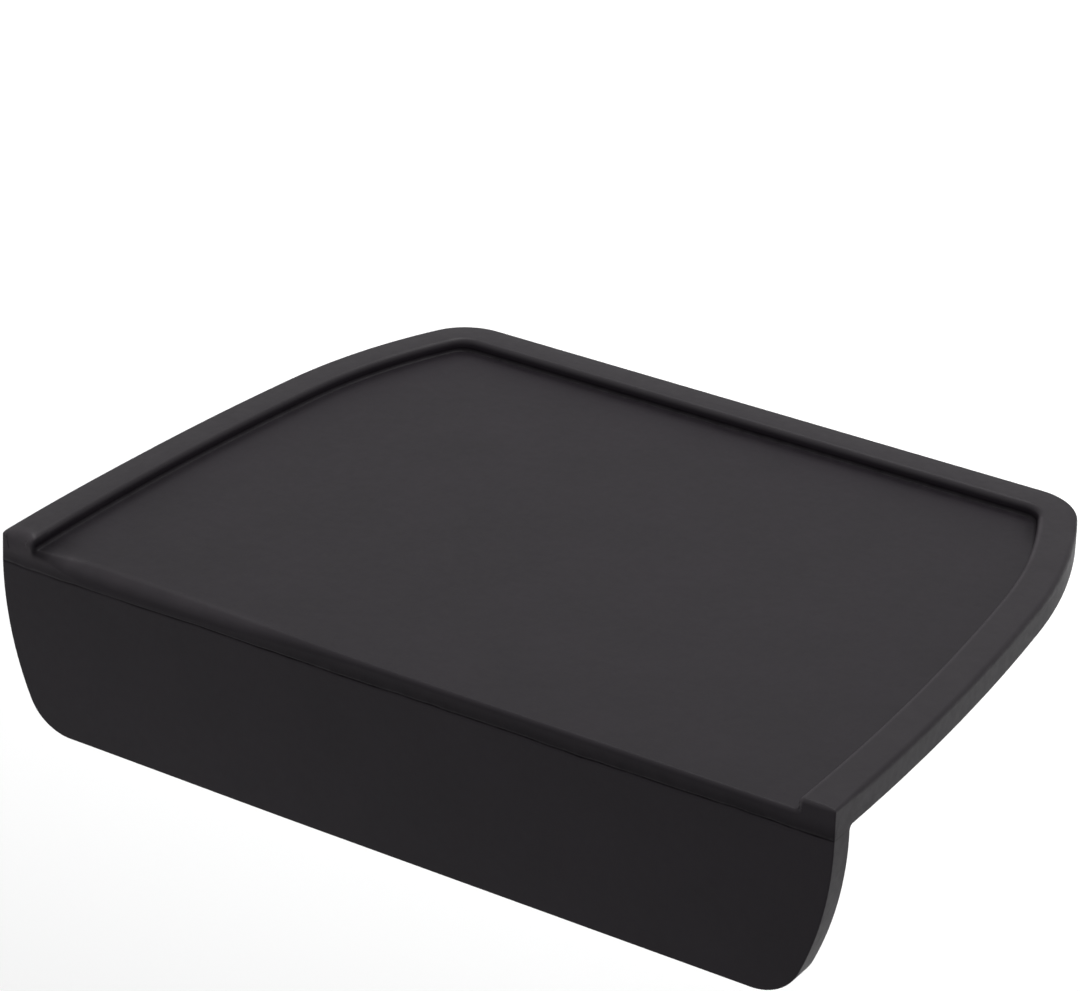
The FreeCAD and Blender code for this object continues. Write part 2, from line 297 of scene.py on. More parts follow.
# %% [markdown]
# ## The front contour
# Seen from the front, the mat is one closed outline: over the rim's right end, across the deck,
# over the left end, down the side, round the lip and back up.  Its edge is rounded all the way
# round, so the first thing to know is how the outline runs down the side and round the lip.
# The mould's two halves meet in a fine parting line just under the deck, and the side wall gets
# points at its height.

# %% Lip outline and parting line
lip_side_steps, lip_corner_steps, upper_wall_steps = 16, 8, 8
parting_right, parting_left = -0.0005, -0.0011
parting_half, parting_depth = 0.00020, 0.00020


def parting_height(x):
    """Height of the parting line: a straight slope across the width and four faint sine waves."""
    slope = np.interp(x, [-half_width, half_width], [parting_left, parting_right])
    long_waves = 0.00010 * np.sin(95 * x) + 0.00006 * np.sin(233 * x + 1.0)
    return slope + long_waves + 0.00005 * np.sin(610 * x + 2.0) + 0.00004 * np.sin(790 * x)


def parting_strength(x):
    """How deep the line is pressed: full to a third, as two slow waves beat, less at the left."""
    beat = 0.5 + 0.5 * np.sin(210 * x + 1.0) * np.sin(97 * x)
    return (1 - 0.65 * beat * leftness(x + 0.03)) * (1 - 0.3 * smooth_step((-0.060 - x) / 0.035))


def wall_levels(top, x):
    """Heights down a side wall: even steps to the parting line, its three rows, the lip's start."""
    line = float(parting_height(x))
    upper = np.linspace(top, line + parting_half, upper_wall_steps + 1)
    return np.concatenate([upper, [line, line - parting_half, lip_start]])


lip_centre = np.array([half_width - lip_side_radius, lip_start])
to_bend = lip_side_radius - lip_corner_radius
lip_tilt = math.asin((lip_start - lip_bottom - lip_corner_radius) / to_bend)
bend_centre = lip_centre + to_bend * np.array([math.cos(lip_tilt), -math.sin(lip_tilt)])
half_bend = (lip_tilt + math.pi / 2) / 2
side_angles = -np.linspace(0, lip_tilt, lip_side_steps + 1)
side_points, side_normals = arc(lip_centre, lip_side_radius, side_angles)
bend_angles = -np.linspace(lip_tilt, half_bend, lip_corner_steps + 1)
bend_points, bend_normals = arc(bend_centre, lip_corner_radius, bend_angles)
lip_points = np.concatenate([side_points, bend_points[1:]])
lip_normals = np.concatenate([side_normals, bend_normals[1:]])
print("lip side:", len(lip_points), "points, corner centre", bend_centre.round(4))

# %% [markdown]
# ## The deck's front row and the whole outline
# The flat deck inside the rim is later filled between its front row and the rim.  Its front row
# therefore gets one point for each point of the back, spaced in the same shares of the length.
# Then all the stretches are joined into one loop, each point with its outward normal and with
# the radius that the front edge has there.  The rim's right end stays crisp, and its left end
# swells to its softest in the middle of the crown.

# %% Spacing and radii along the front
middle_of_corner = straight_steps + side_steps + shoulder_steps + corner_steps // 2
ring_foot = rim[:, -1]


def shares(points):
    """How far along a chain of points each one lies, from 0 to 1, by length."""
    steps = np.linalg.norm(np.diff(points, axis=0), axis=1)
    return np.concatenate([[0], np.cumsum(steps)]) / steps.sum()


back_row = ring_foot[middle_of_corner:stations - middle_of_corner]
deck_x = ring_foot[0, 0] + (ring_foot[-1, 0] - ring_foot[0, 0]) * shares(back_row)
deck_radius = deck_edge_radius(deck_x)

section_column = np.arange(columns)
right_radius = np.interp(
    section_column, [0, edge_steps, edge_steps + 3, columns - 1],
    [crisp_lip, crisp_rim_end, crisp_front, crisp_front])
crown_middle = edge_steps + crown_steps // 2
swelling = smooth_step(section_column / crown_middle)
easing = smooth_step(2 - section_column / crown_middle)
left_radius = np.where(
    section_column < crown_middle,
    crisp_lip + (soft_rim_end - crisp_lip) * swelling,
    crisp_front + (soft_rim_end - crisp_front) * easing)
print("deck front row:", len(deck_x), "points, radius up to", deck_radius.max().round(4),
      "and on the left rim end up to", left_radius.max().round(4))


# %% Loop round the front
def end_section(station, sign):
    """A rim end as rows of x, z and normal in the front plane; the inward way is minus sign."""
    x = sign * (half_width - across[station])
    return np.stack([x, height[station], -sign * tilt_x[station], tilt_z[station]], axis=1)


def with_normals(x, z, normal_x, normal_z):
    """Rows of x, z and normal from values or arrays of the same length."""
    return np.stack(np.broadcast_arrays(x, z, normal_x, normal_z), axis=1)


def down_the_side(sign, station):
    """The wall below the rim's end, then the lip's side and half of its corner."""
    levels = wall_levels(height[station, 0], sign * half_width)
    wall = with_normals(sign * half_width, levels[1:-1], sign, 0.0)
    lip = np.column_stack([lip_points * [sign, 1], lip_normals * [sign, 1]])
    return np.concatenate([wall, lip])


along_steps = 2 * (columns - 1) + len(deck_x) - 1
rest_angles = -np.linspace(half_bend, math.pi / 2, lip_corner_steps + 1)
rest_of_bend, rest_normals = arc(bend_centre, lip_corner_radius, rest_angles)
right_bend = np.column_stack([rest_of_bend, rest_normals])
left_bend = right_bend[::-1] * [-1, 1, -1, 1]
flat_steps = along_steps - 2 * lip_corner_steps
flat_x = np.linspace(rest_of_bend[-1, 0], -rest_of_bend[-1, 0], flat_steps + 1)
bottom = np.concatenate([right_bend, with_normals(flat_x[1:-1], lip_bottom, 0.0, -1.0), left_bend])

pieces = {
    "right rim": (end_section(0, 1), right_radius),
    "deck": (with_normals(deck_x[1:-1], deck_z, 0.0, 1.0), deck_radius[1:-1]),
    "left rim": (end_section(-1, -1)[::-1], left_radius[::-1]),
    "left side": (down_the_side(-1, -1), crisp_lip),
    "bottom": (bottom[::-1][1:-1], crisp_lip),
    "right side": (down_the_side(1, 0)[::-1], crisp_lip),
}
loop = np.concatenate([rows for rows, _ in pieces.values()])
loop_radius = np.concatenate([
    np.broadcast_to(radius, len(rows)) for rows, radius in pieces.values()])
starts = np.cumsum([0] + [len(rows) for rows, _ in pieces.values()])
place = dict(zip(pieces, starts))
print("points round the front:", len(loop), {name: int(value) for name, value in place.items()})

# %% [markdown]
# ## Rounding the front edge
# The front edge is a quarter circle carried round that loop.  Its radius changes along the way,
# which is easy here: every point of the grid only needs its own outline point, normal and
# radius.  The parting line is pressed in as a small V where the side walls cross it, and the
# strip above the line leans back a little at the left.  The rim's straight ends then start from
# the last row of this rounding, because a row worked out twice soon leaves a gap.

# %% Front rounding
lean_share, lean_length = 0.05, 0.004
on_side_wall = 0.999
front_turn = np.linspace(0, math.pi / 2, 8)[None]
radius = loop_radius[:, None]
fallen_back = radius * (1 - np.cos(front_turn))
line_here = parting_height(np.sign(loop[:, :1]) * half_width)
pressed = parting_depth * parting_strength(loop[:, :1]) * np.clip(
    1 - np.abs(loop[:, 1:2] - line_here) / parting_half, 0, 1)
pressed = pressed * (np.abs(loop[:, 2:3]) > on_side_wall)
drawn_in = radius * (1 - np.sin(front_turn))
rounding = np.stack([
    loop[:, 0:1] - drawn_in * loop[:, 2:3],
    front_y + np.maximum(fallen_back, pressed),
    loop[:, 1:2] - drawn_in * loop[:, 3:4],
], axis=2)


def lean(points):
    """Draft of the strip above the parting line: y grows by a share of the height above it.

    The lean fades in towards the left, and dies out over four millimetres behind the front face.
    """
    x, y, z = points[..., 0], points[..., 1], points[..., 2]
    above = np.clip(z - parting_height(x), 0, None)
    moved = lean_share * leftness(x) * above * smooth_step(1 - (y - front_y) / lean_length)
    return np.stack([x, y + moved, z], axis=-1)


rounding = lean(rounding)
face_edge, skin_edge = rounding[:, 0], rounding[:, -1]
print("front rounding:", rounding.shape, "radius", loop_radius.min(), "to", loop_radius.max())

# %% The rim's straight ends
top_edge = skin_edge[:place["left side"]]
right_end_y, left_end_y = top_edge[:columns, 1], top_edge[:-columns - 1:-1, 1]
forward = np.linspace(1, 0, straight_steps + 1)[:, None]
rim[:straight_steps + 1, :, 1] = fold_y + forward * (right_end_y - fold_y)
rim[-straight_steps - 1:, :, 1] = fold_y + forward[::-1] * (left_end_y - fold_y)
print("rim ends start at y", right_end_y.round(4).min(), "and", left_end_y.round(4).min())

# %% [markdown]
# ## Filling flat fields
# Four chains of points round a flat field are enough to fill it with an even grid.  This is a
# Coons patch, after the engineer who worked it out: blend the two long sides, blend the two
# short sides, add them, and take away the blend of the four corners, which was counted twice.

# %% Patch filler
def fill_patch(first_row, last_row, first_column, last_column):
    """Coons patch: the rows' blend plus the columns' blend minus the blend of the corners.

    Both rows run the same way, and both columns run from the first row to the last.
    """
    u = shares(first_row)[None, :, None]
    v = shares(first_column)[:, None, None]
    between_rows = (1 - v) * first_row[None] + v * last_row[None]
    between_columns = (1 - u) * first_column[:, None] + u * last_column[:, None]
    corners = ((1 - v) * ((1 - u) * first_row[0] + u * first_row[-1])
               + v * ((1 - u) * last_row[0] + u * last_row[-1]))
    return between_rows + between_columns - corners


deck_front = top_edge[columns - 1:columns - 1 + len(deck_x)]
side_count = middle_of_corner + 1
deck_field = fill_patch(deck_front, rim[middle_of_corner:stations - middle_of_corner, -1],
                        rim[:side_count, -1], rim[::-1][:side_count, -1])
print("deck field:", deck_field.shape)

# %% [markdown]
# ## The front face
# The face has two fields, above and below the parting line, with the line's own three rows
# between them: its upper edge, its bottom and its lower edge.  All rows have as many points as
# the loop has along the top, so the rows meet.

# %% Front face
top_row = np.arange(place["right rim"], place["left side"])
right_down = np.concatenate([[0], np.arange(len(loop) - 1, place["right side"] - 1, -1)])
left_down = np.arange(place["left side"] - 1, place["bottom"])
bottom_row = np.concatenate([
    right_down[-1:], np.arange(place["right side"] - 1, place["bottom"] - 1, -1), left_down[-1:]])
line_at = upper_wall_steps + 1
line_ends = face_edge[right_down[line_at]], face_edge[left_down[line_at]]
line_x = line_ends[0][0] + (line_ends[1][0] - line_ends[0][0]) * shares(face_edge[top_row])
line_edges = [
    (parting_half, 0, line_at - 1), (0, parting_depth, line_at), (-parting_half, 0, line_at + 1)]
rows = []
for offset, depth, level in line_edges:
    row_y = front_y + depth * parting_strength(line_x)
    row = np.stack([line_x, row_y, parting_height(line_x) + offset], axis=1)
    row[0], row[-1] = face_edge[right_down[level]], face_edge[left_down[level]]
    rows.append(row)
line_rows = np.stack(rows)
line_rows[0, 1:-1] = lean(line_rows[0, 1:-1])
upper_face = fill_patch(face_edge[top_row], line_rows[0],
                        face_edge[right_down[:line_at]], face_edge[left_down[:line_at]])
lower_face = fill_patch(line_rows[2], face_edge[bottom_row],
                        face_edge[right_down[line_at + 1:]], face_edge[left_down[line_at + 1:]])
print("front face rows:", len(upper_face), "+ 3 +", len(lower_face), "by", upper_face.shape[1])

# %% [markdown]
# ## Walls, underside and fold
# The outer wall drops from the rim to a small rounding along the bottom.  That rounding is one
# closed band: round the deck, down through the fold where the lip turns down, and round the lip.
# In the fold the band follows a quarter circle inside the corner between deck and lip.

# %% Walls and under edge
first, last = straight_steps, stations - straight_steps
wall_share = np.linspace(0, 1, 5)[None, :, None]
wall_top = rim[first:last, 0][:, None]
wall_foot = np.column_stack([outer[first:last], np.full(last - first, under_radius)])[:, None]
deck_wall = wall_top + (wall_foot - wall_top) * wall_share

fold_turn = np.append(np.linspace(math.pi / 2, math.pi, 6), math.pi)
fold_steps = len(fold_turn) - 1
fold_out = np.stack([0 * fold_turn, np.cos(fold_turn), np.sin(fold_turn)], axis=1)
fold_line = np.array([0, fold_y, -fold_radius]) + fold_radius * fold_out
fold_line[-1, 2] = lip_start
lip_first, lip_last = place["left side"] + line_at + 1, place["right side"] + len(lip_points)
lip_loop = loop[lip_first:lip_last]
lip_edge = np.column_stack([lip_loop[:, 0], np.full(len(lip_loop), lip_back_y), lip_loop[:, 1]])
lip_wall_normal = np.column_stack([lip_loop[:, 2], np.zeros(len(lip_loop)), lip_loop[:, 3]])

deck_edge = np.column_stack([outer[first:last], np.zeros(last - first)])
deck_wall_normal = np.column_stack([outward[first:last], np.zeros(last - first)])
side_way = np.array([1.0, 0.0, 0.0])
sharp_edge = np.concatenate([
    deck_edge, fold_line[1:] - side_way * half_width,
    lip_edge[1:-1], (fold_line + side_way * half_width)[:0:-1]])
wall_normal = np.concatenate([
    deck_wall_normal, np.tile(-side_way, (fold_steps, 1)),
    lip_wall_normal[1:-1], np.tile(side_way, (fold_steps, 1))])
foot_normal = np.concatenate([
    np.tile([0.0, 0.0, -1.0], (last - first, 1)), -fold_out[1:],
    np.tile([0.0, 1.0, 0.0], (len(lip_loop) - 2, 1)), -fold_out[:0:-1]])

turn = np.linspace(0, math.pi / 2, 5)[None, :, None]
band_centre = sharp_edge - under_radius * (wall_normal + foot_normal)
under_band = band_centre[:, None] + under_radius * (
    np.cos(turn) * wall_normal[:, None] + np.sin(turn) * foot_normal[:, None])
print("under edge band:", under_band.shape)

# %% [markdown]
# ## The flat fields
# What is left is flat: the two side fields, the underside and the back of the lip.  A flat field
# needs no grid.  One face with many corners closes it, and its corners are points that the bands
# already have.

# %% Flat fields of the sides, the underside and the lip
deck_count = last - first
band_wall, band_foot = under_band[:, 0], under_band[:, -1]
left_fold = np.arange(deck_count - 1, deck_count + fold_steps)
right_fold = np.concatenate([
    [0], np.arange(len(under_band) - 1, len(under_band) - fold_steps - 1, -1)])
lip_band = np.arange(deck_count + fold_steps - 1, len(under_band) - fold_steps + 1)
lip_wall = np.stack([skin_edge[lip_first:lip_last], band_wall[lip_band]], axis=1)
fold_field = np.stack([band_foot[right_fold], band_foot[left_fold]], axis=1)
right_side_field = np.concatenate([
    rim[:first + 1, 0], deck_wall[0, 1:], band_wall[right_fold][1:],
    skin_edge[right_down[1:line_at + 3]][::-1]])
left_side_field = np.concatenate([
    rim[::-1][:first + 1, 0], deck_wall[-1, 1:], band_wall[left_fold][1:],
    skin_edge[left_down[1:line_at + 3]][::-1]])
underside = band_foot[:deck_count]
lip_back = band_foot[lip_band]
print("lip wall:", lip_wall.shape, "side fields:", len(right_side_field), len(left_side_field))

# %% [markdown]
# ## One closed skin
# Every grid and field becomes faces, and points that fall on each other are merged.  A closed
# skin has exactly two faces at each edge, and its volume comes out positive when the faces point
# outwards.  Both are printed, since a gap would show as a light leak in a glossy dark skin.

# %% Grids and fields
merge_distance = 0.000004
round_the_front = np.concatenate([rounding, rounding[:1]])
round_below = np.concatenate([under_band, under_band[:1]])
grids = [rim, round_the_front, deck_field, upper_face, line_rows, lower_face,
         deck_wall, round_below, lip_wall, fold_field]
fields = [right_side_field, left_side_field, underside, lip_back]


def grid_faces(grid, start):
    """Four-sided faces of a grid of points: each point with its next ones in row and column."""
    rows, cols = grid.shape[:2]
    index = start + np.arange(rows * cols).reshape(rows, cols)
    corners = index[:-1, :-1], index[:-1, 1:], index[1:, 1:], index[1:, :-1]
    return np.stack(corners, axis=-1).reshape(-1, 4)


grid_points = sum(grid.size // 3 for grid in grids)
print("grids:", len(grids), "with", grid_points, "points, flat fields:", len(fields))

# %% Build the skin
points, faces, count = [], [], 0
for grid in grids:
    faces.extend(grid_faces(grid, count).tolist())
    points.append(grid.reshape(-1, 3))
    count += len(points[-1])
for field in fields:
    faces.append(list(range(count, count + len(field))))
    points.append(field)
    count += len(field)
skin_mesh = bpy.data.meshes.new("mat_skin")
skin_mesh.from_pydata(np.concatenate(points).tolist(), [], faces)
shaper = bmesh.new()
shaper.from_mesh(skin_mesh)
bmesh.ops.remove_doubles(shaper, verts=shaper.verts, dist=merge_distance)
bmesh.ops.recalc_face_normals(shaper, faces=shaper.faces)
loose = sum(1 for edge in shaper.edges if len(edge.link_faces) != 2)
print("points", len(shaper.verts), "faces", len(shaper.faces), "open edges", loose,
      "volume cm3", round(shaper.calc_volume(signed=True) * 1e6, 2))
shaper.to_mesh(skin_mesh)
shaper.free()
skin_mesh.shade_smooth()

# %% [markdown]
# ## How the soft lip hangs
# A lip of soft silicone never hangs quite true.  Its lower edge has spread a little to both sides,
# and its left end rides up by less than half a millimetre.  The move grows with the square of the
# depth below the deck, so the upper part stays where it is and no crease forms.  At the end every
# point is kept inside the mat's own box.

# %% Hang of the lip
edge_spread, left_rise = 0.0004, 0.0004
rise_start = 0.02
point_count = len(skin_mesh.vertices)
flat_points = np.empty(point_count * 3)
skin_mesh.vertices.foreach_get("co", flat_points)
spots = flat_points.reshape(-1, 3)
depth_share = np.clip((spots[:, 2] - lip_start) / (lip_bottom - lip_start), 0, 1) ** 2
spots[:, 0] += edge_spread * depth_share * spots[:, 0] / half_width
spots[:, 2] += left_rise * depth_share * leftness(spots[:, 0] + rise_start)
spots[:] = np.clip(spots, [low.x, low.y, low.z], [high.x, high.y, high.z])
skin_mesh.vertices.foreach_set("co", spots.ravel())
print("lip moved by up to", round(float(edge_spread * depth_share.max()) * 1000, 2), "mm")

# %% [markdown]
# ## The finished piece
# The skin becomes an object at the origin.  A Weighted Normal modifier lets the large flat faces
# lead the shading, so the small roundings don't pull shadows across the deck.  Then the skin
# takes the place of the construction model's node, rides with it and gets its material slot.

# %% Mat object
mat_skin = bpy.data.objects.new("mat_skin", skin_mesh)
bpy.context.scene.collection.objects.link(mat_skin)
even_light = mat_skin.modifiers.new("even shading", "WEIGHTED_NORMAL")
even_light.keep_sharp = False
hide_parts("tamping_mat")
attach(mat_skin, "root")
print("piece:", mat_skin.name, "faces", len(skin_mesh.polygons))

# %% [markdown]
# ## Where the skin is darker or paler
# Some marks follow the shape, so they are written on the mesh as attributes, one number at each
# point, and the material reads them.  Painting them on a picture would need an unwrapped map,
# and a ramp on object coordinates couldn't follow the bowed rim.  Two numbers describe the
# parting line: the height above it, and how strongly it shows.  A third is painted shade, which
# darkens the skin where little light reaches: the strip above the line on the right, the hollow
# along the rim at the back and on the left, and the foot of the rim's left end.

# %% Parting line on the skin
face_depth, face_fade = 0.0012, 0.0004
strip_shade, strip_height, left_loss = 0.6, 0.0045, 0.9

spot_x, spot_y, spot_z = spots.T
on_front = smooth_step((front_y + face_depth - spot_y) / face_fade)
above_line = spot_z - parting_height(spot_x)
line_strength = on_front * parting_strength(spot_x)
# The strip mark is painted shade on the strip above the parting line.
strip_mark = strip_shade * on_front * smooth_step(1 - above_line / strip_height)
strip_mark = strip_mark * (above_line > 0) * (1 - left_loss * leftness(spot_x))
print("strip above the line:", int((strip_mark > 0.3).sum()), "points")

# %% Dark marks
hollow_start, hollow_width = 0.006, 0.0025
back_start, back_fade = 0.045, 0.012
left_start, left_side_fade, left_share = 0.04, 0.02, 0.7
hollow_shade, fillet_shade = 0.48, 0.76
level_gap, fillet_gap = 0.0001, 0.000005
foot_shade, foot_drop, foot_rise, foot_width = 0.75, 0.0022, 0.0020, 0.0012
foot_start, foot_fade, foot_length, foot_reach = 0.080, 0.01, 0.020, 0.006

# Painted shade: the hollow along the rim, its fillet and the foot of the rim's left end are painted
# darker.
to_rim = np.linalg.norm(spots[:, None, :2] - tray[None, :, :], axis=2).min(axis=1)
at_floor = (spot_z > deck_z - level_gap) * (spot_z < deck_z + 1.2 * floor_radius)
in_hollow = at_floor * (spot_y > front_y + hollow_start)
at_back = smooth_step((spot_y - back_start) / back_fade)
at_left = smooth_step((-left_start - spot_x) / left_side_fade)
far_side = np.maximum(at_back, left_share * at_left)
hollow_mark = hollow_shade * far_side * in_hollow * smooth_step(1.6 - to_rim / hollow_width)
in_fillet = in_hollow * (spot_z > deck_z + fillet_gap) * (to_rim < 1.01 * floor_radius)
fillet_mark = fillet_shade * far_side * in_fillet

left_foot = smooth_step((spot_z - deck_z + foot_drop) / foot_rise) * (spot_z < deck_z + foot_drop)
left_foot = left_foot * smooth_step((-foot_start - spot_x) / foot_fade)
left_foot = left_foot * smooth_step(1 - (spot_y - front_y) / foot_length)
left_foot = left_foot * smooth_step(1.2 - to_rim / foot_reach)
left_foot = left_foot * smooth_step((spot_x + half_width - side_rim + foot_width) / foot_width)
shade_mark = np.maximum.reduce([strip_mark, hollow_mark, fillet_mark, foot_shade * left_foot])
print("shaded points:", int((shade_mark > 0.3).sum()), "of", point_count)

# %% [markdown]
# ## Painted sheen and highlights
# The rim's top is painted a little paler, as a painted sheen.  A stronger mark is a painted
# highlight: it follows the inner edge of the rim on the right, the corner at the left end and
# the rolled front edge beside it.

# %% Pale marks
sheen_start, sheen_fade = 0.0056, 0.0007
edge_height, edge_line, edge_half = 0.0052, 0.0006, 0.0008
edge_start, edge_fade = 0.03, 0.02
roll_depth, roll_fade = 0.0045, 0.003
corner_start, corner_fade, corner_low, corner_rise = 0.070, 0.030, 0.0005, 0.0030
roll_start, roll_length, roll_low, roll_rise = 0.025, 0.02, 0.0005, 0.0015
corner_strength, roll_strength = 0.95, 0.4

# Painted sheen: the rim's top is painted paler above this height.
sheen_mark = smooth_step((spot_z - sheen_start) / sheen_fade)
# Painted highlight along the right inner edge, on the left corner and on the rolled front edge.
on_right_edge = (spot_z > edge_height) * (spot_y < right_side_end)
on_right_edge = on_right_edge * smooth_step((spot_x - edge_start) / edge_fade)
right_edge = on_right_edge * smooth_step(1.2 - np.abs(to_rim - edge_line) / edge_half)
on_front_roll = smooth_step((front_y + roll_depth - spot_y) / roll_fade) * (1 - left_foot)
left_corner = smooth_step((-corner_start - spot_x) / corner_fade)
left_corner = left_corner * smooth_step((spot_z + corner_low) / corner_rise) * on_front_roll
left_roll = roll_strength * on_front_roll * smooth_step((-roll_start - spot_x) / roll_length)
left_roll = left_roll * smooth_step((spot_z - roll_low) / roll_rise)
highlight_mark = np.maximum.reduce([right_edge, corner_strength * left_corner, left_roll])
print("rubbed points:", int((sheen_mark > 0.5).sum()), "and on edges", int((highlight_mark > 0.3).sum()))


# %% Write the marks
def write_mark(name, values):
    """Stores one number for each point under the name, for the material to read."""
    mark = skin_mesh.attributes.new(name, "FLOAT", "POINT")
    mark.data.foreach_set("value", values.astype(np.float32))
    print("mark", name, "from", round(float(values.min()), 3), "to", round(float(values.max()), 3),
          "on", int((values > 0.5).sum()), "points")


write_mark("above_line", above_line)
write_mark("line_strength", line_strength)
write_mark("shade_mark", shade_mark)
write_mark("sheen_mark", sheen_mark)
write_mark("highlight_mark", highlight_mark)

# %% [markdown]
# ## Short ways to add nodes
# A material is a small machine of nodes, and three of them do most of the work: one that carries
# a number from one range to another, one that does a sum, and one that mixes two colours.  Each
# gets a short function, which adds the node to a tree, wires its inputs and returns its output.

# %% Node helpers
def ranged(tree, value, from_ends, to_ends=(0.0, 1.0), shape="LINEAR"):
    """Carries a value from one range to another in a straight or a smooth step, held at the ends."""
    node = tree.nodes.new("ShaderNodeMapRange")
    node.interpolation_type = shape
    for socket, number in zip(("From Min", "From Max", "To Min", "To Max"), (*from_ends, *to_ends)):
        node.inputs[socket].default_value = number
    tree.links.new(value, node.inputs["Value"])
    return node.outputs["Result"]


def reckoned(tree, operation, *values):
    """One sum with one value or two, such as their product or the larger of them."""
    node = tree.nodes.new("ShaderNodeMath")
    node.operation = operation
    for socket, value in zip(node.inputs, values):
        tree.links.new(value, socket)
    return node.outputs["Value"]


def mixed(tree, first, second, share):
    """Mixes two colours by a share from 0 to 1; a colour is a tuple or another node's output."""
    node = tree.nodes.new("ShaderNodeMix")
    node.data_type = "RGBA"
    for socket, color in (("A", first), ("B", second)):
        if isinstance(color, tuple):
            node.inputs[socket].default_value = (*color, 1)
        else:
            tree.links.new(color, node.inputs[socket])
    tree.links.new(share, node.inputs["Factor"])
    return node.outputs["Result"]


print("node helpers:", ranged.__name__, reckoned.__name__, mixed.__name__)

# %% [markdown]
# ## The silicone
# Moulded silicone is nearly black here, and most of what the eye sees is a broad, soft gloss on
# its fine grain.  So the colour stays very dark, with a faint mottling, a painted sheen and painted
# highlights and shade from the marks, and the rest of the life comes from roughness and bump.  All
# patterns read object coordinates, which are metres on the mat.

# %% Silicone colour
silicone = bpy.data.materials.new("black silicone")
silicone.use_nodes = True
tree = silicone.node_tree
tree.nodes.clear()
link = tree.links.new
output = tree.nodes.new("ShaderNodeOutputMaterial")
shader = tree.nodes.new("ShaderNodeBsdfPrincipled")
place_on_mat = tree.nodes.new("ShaderNodeTexCoord")
link(shader.outputs["BSDF"], output.inputs["Surface"])
shader.inputs["IOR"].default_value = 1.41
shader.inputs["Specular IOR Level"].default_value = 0.5

dark_silicone, light_silicone = (0.0135, 0.0098, 0.0145), (0.0165, 0.0120, 0.0175)
# Pale tints of the painted sheen on the rim's top and the painted highlight on the edges.
painted_top_sheen, painted_edge_highlight = (0.0270, 0.0225, 0.0275), (0.060, 0.052, 0.060)


def grain(scale, detail, roughness=0.5):
    """Noise on object coordinates; scale counts its bumps in a metre."""
    noise = tree.nodes.new("ShaderNodeTexNoise")
    noise.inputs["Scale"].default_value = scale
    noise.inputs["Detail"].default_value = detail
    noise.inputs["Roughness"].default_value = roughness
    link(place_on_mat.outputs["Object"], noise.inputs["Vector"])
    return noise.outputs["Fac"]


def spread(value, low_end, high_end):
    """Maps the middle of a noise, 0.3 to 0.7, to a range of values."""
    return ranged(tree, value, (0.3, 0.7), (low_end, high_end))


def read_mark(name):
    """The number that the mesh carries under the name."""
    mark = tree.nodes.new("ShaderNodeAttribute")
    mark.attribute_name = name
    return mark.outputs["Fac"]


def times(first, second):
    """Product of two values of the silicone's tree."""
    return reckoned(tree, "MULTIPLY", first, second)


mottled = mixed(tree, dark_silicone, light_silicone, spread(grain(55, 3), 0, 1))
# The sheen and highlight marks paint light into the colour.
top_share = times(read_mark("sheen_mark"), spread(grain(140, 3), 0.6, 1.0))
edge_share = times(read_mark("highlight_mark"), spread(grain(180, 3), 0.5, 0.9))
painted_sheen = mixed(tree, mixed(tree, mottled, painted_top_sheen, top_share), painted_edge_highlight, edge_share)
print("material:", silicone.name, "colour from", len(tree.nodes), "nodes")

# %% [markdown]
# ## Dark line and dull hollows
# The parting line is a groove a few tenths of a millimetre wide, and no light comes out of it.
# So the material darkens a band round the line's height, broken up by a noise, because the line
# is never equally deep.  The same darkness dims the gloss, which a narrow hollow can't show.

# %% Silicone line and gloss
groove_color = (0.0032, 0.0018, 0.0036)
groove_core, groove_rim = 0.00012, 0.00030
full_gloss, hollow_gloss = 0.5, 0.1

from_line = reckoned(tree, "ABSOLUTE", read_mark("above_line"))
in_line = ranged(tree, from_line, (groove_core, groove_rim), (1.0, 0.0))
line_shade = times(times(in_line, read_mark("line_strength")), spread(grain(300, 3, 0.6), 0.35, 0.85))
# Painted shade: the shade mark darkens the colour and dims the gloss.
hollow_dark = times(read_mark("shade_mark"), spread(grain(260, 3), 0.7, 1.0))
darker = reckoned(tree, "MAXIMUM", line_shade, hollow_dark)
link(mixed(tree, painted_sheen, groove_color, darker), shader.inputs["Base Color"])
link(spread(grain(420, 4, 0.6), 0.44, 0.52), shader.inputs["Roughness"])
link(ranged(tree, darker, (0.0, 1.0), (full_gloss, hollow_gloss)), shader.inputs["Specular IOR Level"])
print("material:", silicone.name, len(tree.nodes), "nodes with line and gloss")

# %% [markdown]
# ## The grain
# A mould that was blasted before use leaves a fine grain on the silicone, and the soft sheet is
# never quite flat.  Both are far too shallow to model, so two bumps tilt the normals instead: a
# fine one with thousands of grains to the metre, and a wide one of a few centimetres.

# %% Silicone bump
def bump(height, distance):
    """A bump at a quarter of full strength; the pattern's height times the distance, in metres."""
    node = tree.nodes.new("ShaderNodeBump")
    node.inputs["Strength"].default_value = 0.25
    node.inputs["Distance"].default_value = distance
    link(height, node.inputs["Height"])
    return node


fine_bump = bump(grain(2600, 2), 0.00006)
wide_bump = bump(grain(22, 1), 0.0004)
link(wide_bump.outputs["Normal"], fine_bump.inputs["Normal"])
link(fine_bump.outputs["Normal"], shader.inputs["Normal"])
skin_mesh.materials.append(silicone)
print("material:", silicone.name, len(tree.nodes), "nodes")

# %% [markdown]
# ## The floor
# The mat is held by its counter, which isn't part of it, so the floor lies well below.  It is a
# sheet of pale paper with painted shade: it gets a little greyer towards the front and the right.
# The mat's walls mirror that floor at a low angle, so this painted shade sets how bright each
# wall looks.  One patch of painted shade behind the right side is greyer still, for the side wall
# that faces it.

